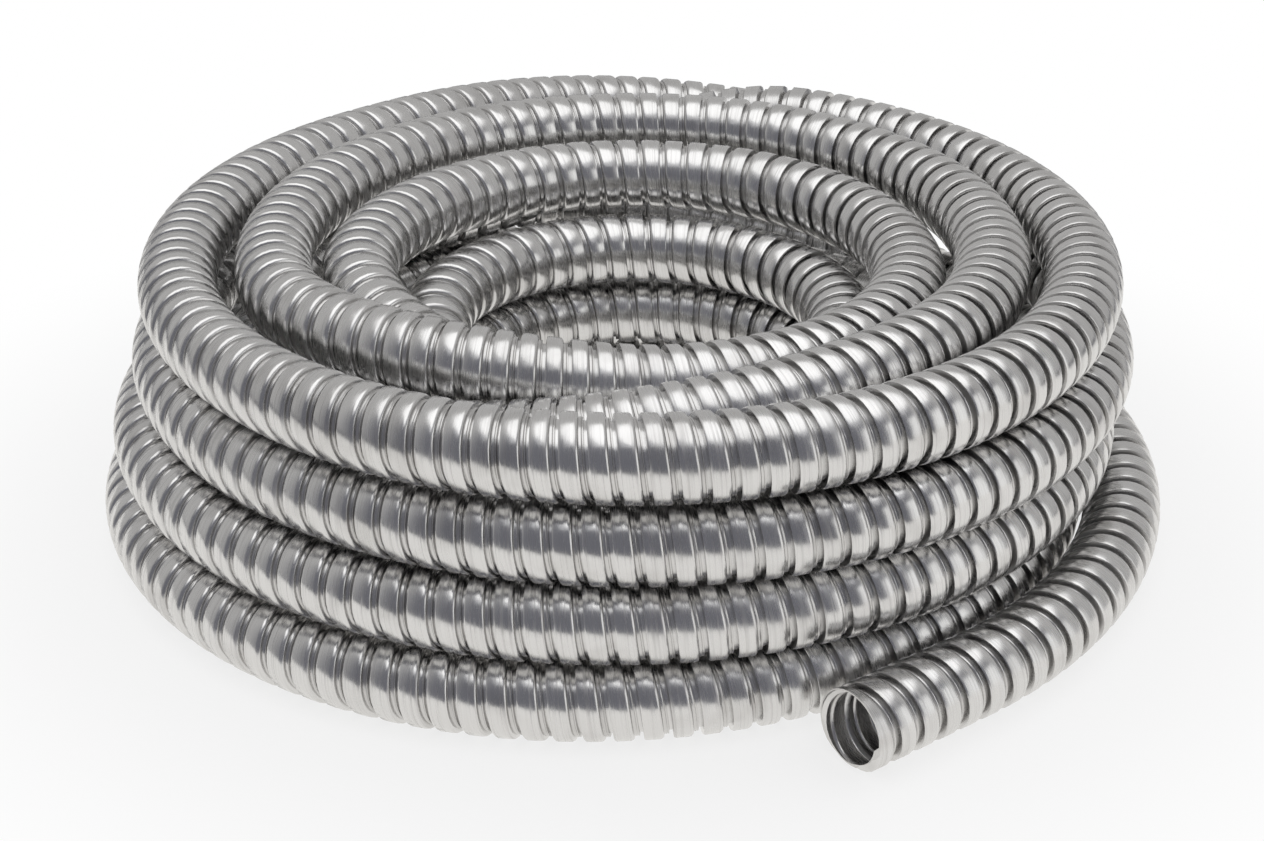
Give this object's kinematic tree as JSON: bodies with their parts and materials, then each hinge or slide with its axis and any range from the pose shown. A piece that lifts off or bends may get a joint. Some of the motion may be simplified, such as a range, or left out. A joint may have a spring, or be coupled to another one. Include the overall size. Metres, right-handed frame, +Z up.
{
  "type": "stainless steel interlock hose",
  "caption": "Coil of strip-wound stainless steel interlock hose lying flat, with one plain cut end leading off at the front.",
  "frame": {"origin": "centre of the coil's box seen from above, at the surface it lies on", "axes": "+Z up out of the surface the coil lies on; -Y is the side the camera looks from, where the free end lies at the right; +X to the right seen from there"},
  "size_m": [0.3876, 0.3906, 0.1117],
  "materials": {
    "stainless_strip": "rolled strip with fine lengthwise brush lines, satin to bright"
  },
  "bodies": {
    "root": {"interlock_hose": "stainless_strip"}
  },
  "joints": []
}
